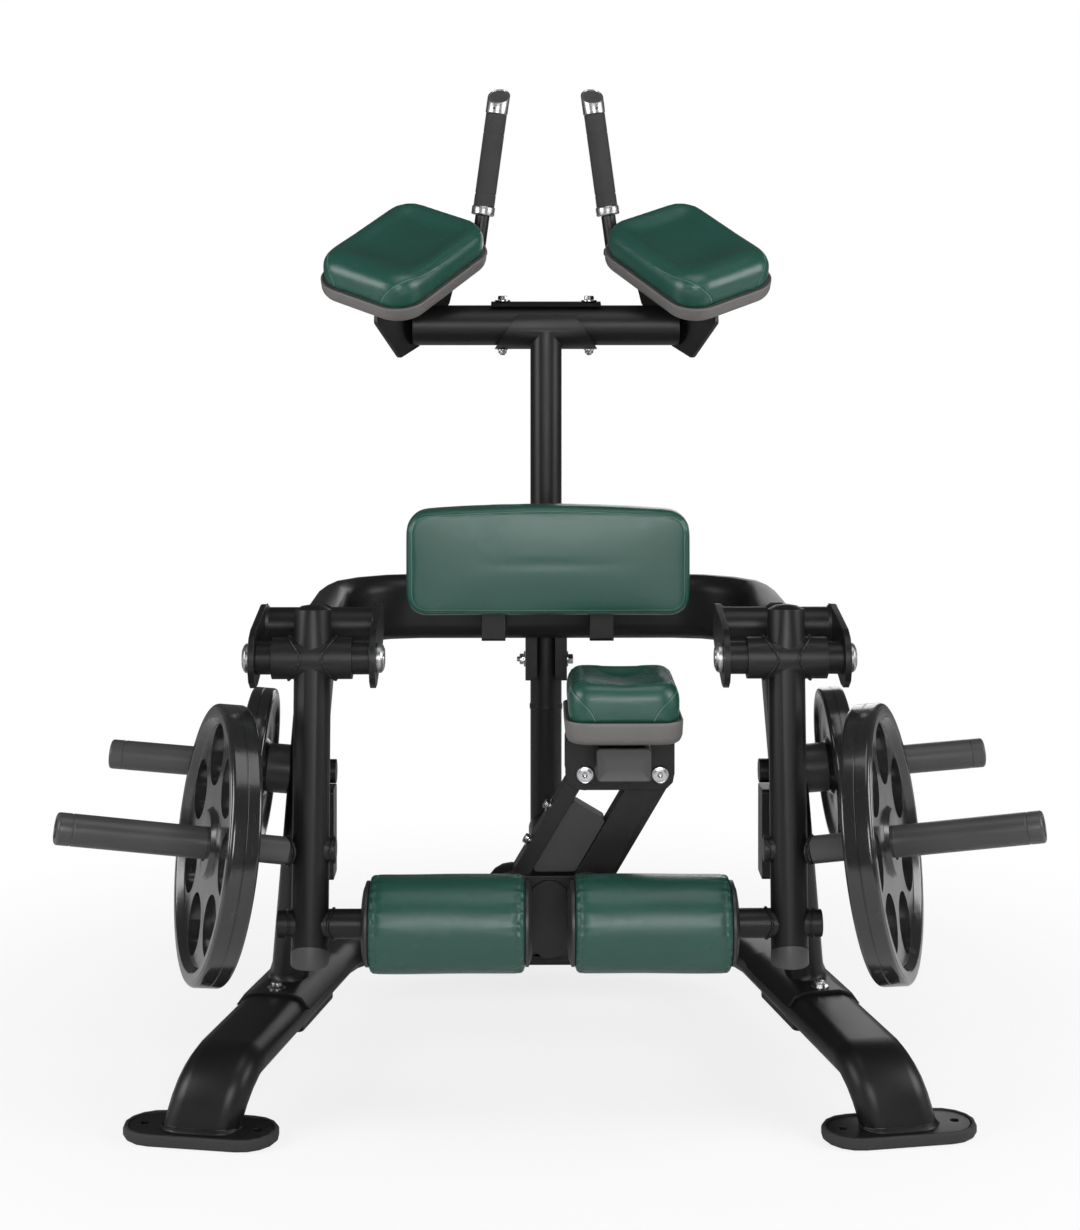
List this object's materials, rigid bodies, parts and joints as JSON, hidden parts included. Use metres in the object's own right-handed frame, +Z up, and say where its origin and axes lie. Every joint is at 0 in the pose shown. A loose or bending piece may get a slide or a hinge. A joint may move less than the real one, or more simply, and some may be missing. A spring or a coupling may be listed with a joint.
{
  "type": "kneeling hamstring machine",
  "caption": "Plate-loaded leg-curl machine with swing arms, ankle rollers, a swaying knee pad, a thigh pad, elbow pads and upright handles.",
  "frame": {"origin": "middle of the overall box's footprint, on the floor", "axes": "+X to the machine's right in the picture, +Y from the viewer to the column, +Z up"},
  "size_m": [1.5462, 1.1588, 1.724],
  "materials": {
    "black_paint": "satin powder coat",
    "chrome_steel": "polished",
    "plate_iron": "gloss enamel",
    "black_rubber": "matte",
    "grey_plastic": "satin",
    "green_leather": "smooth upholstery leather"
  },
  "bodies": {
    "frame": {"column": "black_paint", "crossbar": "black_paint", "crossbar_clamp_cap": "black_paint", "left_axle": "chrome_steel", "left_base_pivot_bolt": "chrome_steel", "left_base_tube": "black_paint", "left_bearing_sleeve": "black_paint", "left_elbow_cushion": "green_leather", "left_elbow_tray": "grey_plastic", "left_foot_pad": "black_rubber", "left_handle": "chrome_steel", "left_handle_grip": "black_rubber", "left_storage_horn": "black_paint", "left_upright": "black_paint", "left_yoke": "black_paint", "rear_foot_pad": "black_rubber", "rear_leg": "black_paint", "right_axle": "chrome_steel", "right_base_pivot_bolt": "chrome_steel", "right_base_tube": "black_paint", "right_bearing_sleeve": "black_paint", "right_elbow_cushion": "green_leather", "right_elbow_tray": "grey_plastic", "right_foot_pad": "black_rubber", "right_handle": "chrome_steel", "right_handle_grip": "black_rubber", "right_storage_horn": "black_paint", "right_upright": "black_paint", "right_yoke": "black_paint", "spine": "black_paint", "thigh_cushion": "green_leather", "thigh_pad_support": "black_paint", "upper_beam": "black_paint"},
    "left_arm": {"left_arm": "black_paint", "left_arm_end_plug": "grey_plastic", "left_working_horn": "black_paint", "left_roller_shaft": "black_paint"},
    "right_arm": {"right_arm": "black_paint", "right_arm_end_plug": "grey_plastic", "right_working_horn": "black_paint", "right_roller_shaft": "black_paint"},
    "left_roller": {"left_roller_pad": "green_leather", "left_roller_inner_disc": "grey_plastic", "left_roller_outer_disc": "grey_plastic"},
    "right_roller": {"right_roller_pad": "green_leather", "right_roller_inner_disc": "grey_plastic", "right_roller_outer_disc": "grey_plastic"},
    "left_working_plate": {"left_working_plate": "plate_iron"},
    "right_working_plate": {"right_working_plate": "plate_iron"},
    "left_storage_plate": {"left_storage_plate": "plate_iron"},
    "right_storage_plate": {"right_storage_plate": "plate_iron"},
    "left_knee_link": {"left_knee_link": "black_paint", "bumper_block": "black_rubber"},
    "right_knee_link": {"right_knee_link": "black_paint"},
    "knee_pad": {"knee_carrier": "black_paint", "knee_tray": "grey_plastic", "knee_cushion": "green_leather", "left_top_pivot_bolt": "chrome_steel", "right_top_pivot_bolt": "chrome_steel"}
  },
  "joints": [
    {"name": "left_arm_swing", "type": "hinge", "parent": "frame", "child": "left_arm", "pos_m": [-0.384, -0.29063, 0.733], "axis": [-1, 0, 0], "range_deg": [0, 110]},
    {"name": "left_roller_spin", "type": "hinge", "parent": "left_arm", "child": "left_roller", "pos_m": [-0.164, -0.33092, 0.3145], "axis": [1, 0, 0], "continuous": true},
    {"name": "left_working_plate_slide", "type": "slide", "parent": "left_arm", "child": "left_working_plate", "axis": [-0.9366, -0.3043, 0.1736], "range_m": [0, 0.33]},
    {"name": "left_storage_plate_slide", "type": "slide", "parent": "frame", "child": "left_storage_plate", "axis": [-0.9962, 0, 0.0872], "range_m": [0, 0.28]},
    {"name": "right_arm_swing", "type": "hinge", "parent": "frame", "child": "right_arm", "pos_m": [0.384, -0.29063, 0.733], "axis": [-1, 0, 0], "range_deg": [0, 110]},
    {"name": "right_roller_spin", "type": "hinge", "parent": "right_arm", "child": "right_roller", "pos_m": [0.164, -0.33092, 0.3145], "axis": [1, 0, 0], "continuous": true},
    {"name": "right_working_plate_slide", "type": "slide", "parent": "right_arm", "child": "right_working_plate", "axis": [0.9366, -0.3043, 0.1736], "range_m": [0, 0.33]},
    {"name": "right_storage_plate_slide", "type": "slide", "parent": "frame", "child": "right_storage_plate", "axis": [0.9962, 0, 0.0872], "range_m": [0, 0.28]},
    {"name": "left_link_sway", "type": "hinge", "parent": "frame", "child": "left_knee_link", "pos_m": [-0.0625, -0.16663, 0.318], "axis": [0, -1, 0], "range_deg": [0, 61]},
    {"name": "right_link_sway", "type": "hinge", "parent": "frame", "child": "right_knee_link", "pos_m": [0.0625, -0.16663, 0.318], "axis": [0, -1, 0], "range_deg": [0, 61]},
    {"name": "knee_pad_level", "type": "hinge", "parent": "left_knee_link", "child": "knee_pad", "pos_m": [0.05967, -0.16663, 0.52458], "axis": [0, -1, 0], "range_deg": [-61, 0]}
  ],
  "couplings": [
    {"joint": "right_link_sway", "follows": "left_link_sway", "ratio": 1},
    {"joint": "knee_pad_level", "follows": "left_link_sway", "ratio": -1}
  ]
}
